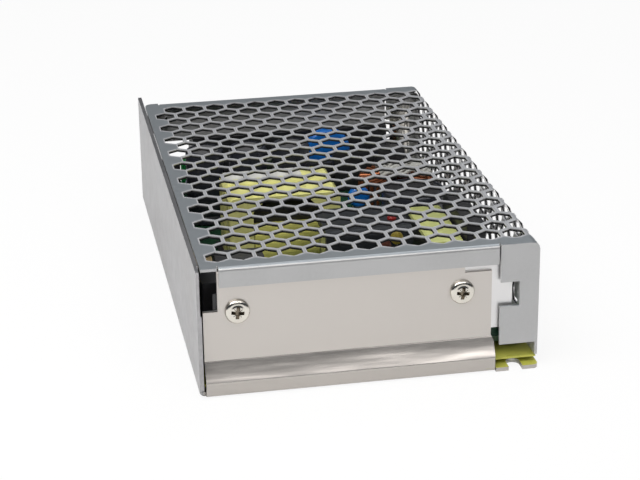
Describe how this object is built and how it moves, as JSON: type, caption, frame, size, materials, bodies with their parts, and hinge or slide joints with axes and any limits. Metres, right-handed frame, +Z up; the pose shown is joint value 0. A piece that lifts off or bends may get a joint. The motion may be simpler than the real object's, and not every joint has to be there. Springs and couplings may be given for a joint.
{
  "type": "mesh case switching power supply",
  "caption": "Switching power supply in a folded steel case under a hexagonally punched cover, with its circuit board, transformer and a row of screw terminals at one end.",
  "frame": {"origin": "centre of the underside of the base plate", "axes": "+Z up, -Y the end with the two clamping screws, +Y the terminal end, -X the plain side wall, +X the perforated side wall"},
  "size_m": [0.097, 0.159, 0.038],
  "materials": {
    "adhesive": "whitish set adhesive in strands",
    "black_plastic": "black moulded plastic",
    "blue_resin": "blue coated disc",
    "board_laminate": "green laminate, satin",
    "can_sleeve": "dark shrink sleeve with bare metal end",
    "case_sheet": "plated folded sheet, satin with faint streaks",
    "copper_winding": "enamelled copper wire in turns",
    "core_tape": "yellow polyester tape, slightly glossy",
    "cover_sheet": "cool grey satin sheet with punched hexagonal holes",
    "dark_resin": "dark coated disc",
    "ferrite": "dark grey ferrite",
    "film_box": "pale yellow green box",
    "fuse_glass": "clear tube with bright metal end caps",
    "green_lens": "green lamp body",
    "heat_metal": "dark anodised sheet",
    "label_strip": "plain white strip",
    "pad_film": "grey insulating pad",
    "plated_steel": "bright plated fixings",
    "resistor_body": "buff resistor bodies",
    "sheet_film": "olive yellow film, satin",
    "trimmer_blue": "blue moulded body",
    "trimmer_white": "white slotted rotor",
    "winding_tape": "yellow tape in turns, slightly glossy"
  },
  "bodies": {
    "case": {"adhesive_bead": "adhesive", "board_screws": "plated_steel", "bridge_rectifier": "black_plastic", "bypass_capacitors": "black_plastic", "chassis": "case_sheet", "choke_base": "black_plastic", "choke_core": "ferrite", "choke_winding_left": "copper_winding", "choke_winding_right": "copper_winding", "circuit_board": "board_laminate", "driver_transformer": "core_tape", "end_nuts": "plated_steel", "end_screws": "plated_steel", "film_capacitor": "film_box", "filter_capacitor": "black_plastic", "heat_spreader": "heat_metal", "indicator_led": "green_lens", "insulating_pads": "pad_film", "insulating_sheet": "sheet_film", "mains_capacitor": "can_sleeve", "mains_fuse": "fuse_glass", "mesh_cover": "cover_sheet", "output_capacitor_1": "can_sleeve", "output_capacitor_2": "can_sleeve", "output_capacitor_3": "can_sleeve", "output_inductor": "ferrite", "output_rectifier": "black_plastic", "power_resistors": "resistor_body", "power_transistor": "black_plastic", "safety_capacitor": "blue_resin", "snubber_capacitor": "black_plastic", "standoffs": "plated_steel", "terminal_bars": "plated_steel", "terminal_block": "black_plastic", "thermistor": "dark_resin", "transformer_bobbin": "black_plastic", "transformer_core": "core_tape", "transformer_label": "label_strip", "transformer_winding": "winding_tape", "trimmer_body": "trimmer_blue", "varistor": "blue_resin"},
    "rotor": {"trimmer_rotor": "trimmer_white"},
    "clamp_1": {"terminal_clamp_1": "plated_steel", "terminal_screw_1": "plated_steel"},
    "clamp_2": {"terminal_clamp_2": "plated_steel", "terminal_screw_2": "plated_steel"},
    "clamp_3": {"terminal_clamp_3": "plated_steel", "terminal_screw_3": "plated_steel"},
    "clamp_4": {"terminal_clamp_4": "plated_steel", "terminal_screw_4": "plated_steel"},
    "clamp_5": {"terminal_clamp_5": "plated_steel", "terminal_screw_5": "plated_steel"},
    "clamp_6": {"terminal_clamp_6": "plated_steel", "terminal_screw_6": "plated_steel"},
    "clamp_7": {"terminal_clamp_7": "plated_steel", "terminal_screw_7": "plated_steel"}
  },
  "joints": [
    {"name": "turn_trimmer", "type": "hinge", "parent": "case", "child": "rotor", "pos_m": [-0.0414, 0.072, 0.011], "axis": [0, 0, 1], "range_deg": [-135, 135]},
    {"name": "open_clamp_1", "type": "slide", "parent": "case", "child": "clamp_1", "axis": [0, 0, 1], "range_m": [0, 0.0025]},
    {"name": "open_clamp_2", "type": "slide", "parent": "case", "child": "clamp_2", "axis": [0, 0, 1], "range_m": [0, 0.0025]},
    {"name": "open_clamp_3", "type": "slide", "parent": "case", "child": "clamp_3", "axis": [0, 0, 1], "range_m": [0, 0.0025]},
    {"name": "open_clamp_4", "type": "slide", "parent": "case", "child": "clamp_4", "axis": [0, 0, 1], "range_m": [0, 0.0025]},
    {"name": "open_clamp_5", "type": "slide", "parent": "case", "child": "clamp_5", "axis": [0, 0, 1], "range_m": [0, 0.0025]},
    {"name": "open_clamp_6", "type": "slide", "parent": "case", "child": "clamp_6", "axis": [0, 0, 1], "range_m": [0, 0.0025]},
    {"name": "open_clamp_7", "type": "slide", "parent": "case", "child": "clamp_7", "axis": [0, 0, 1], "range_m": [0, 0.0025]}
  ]
}
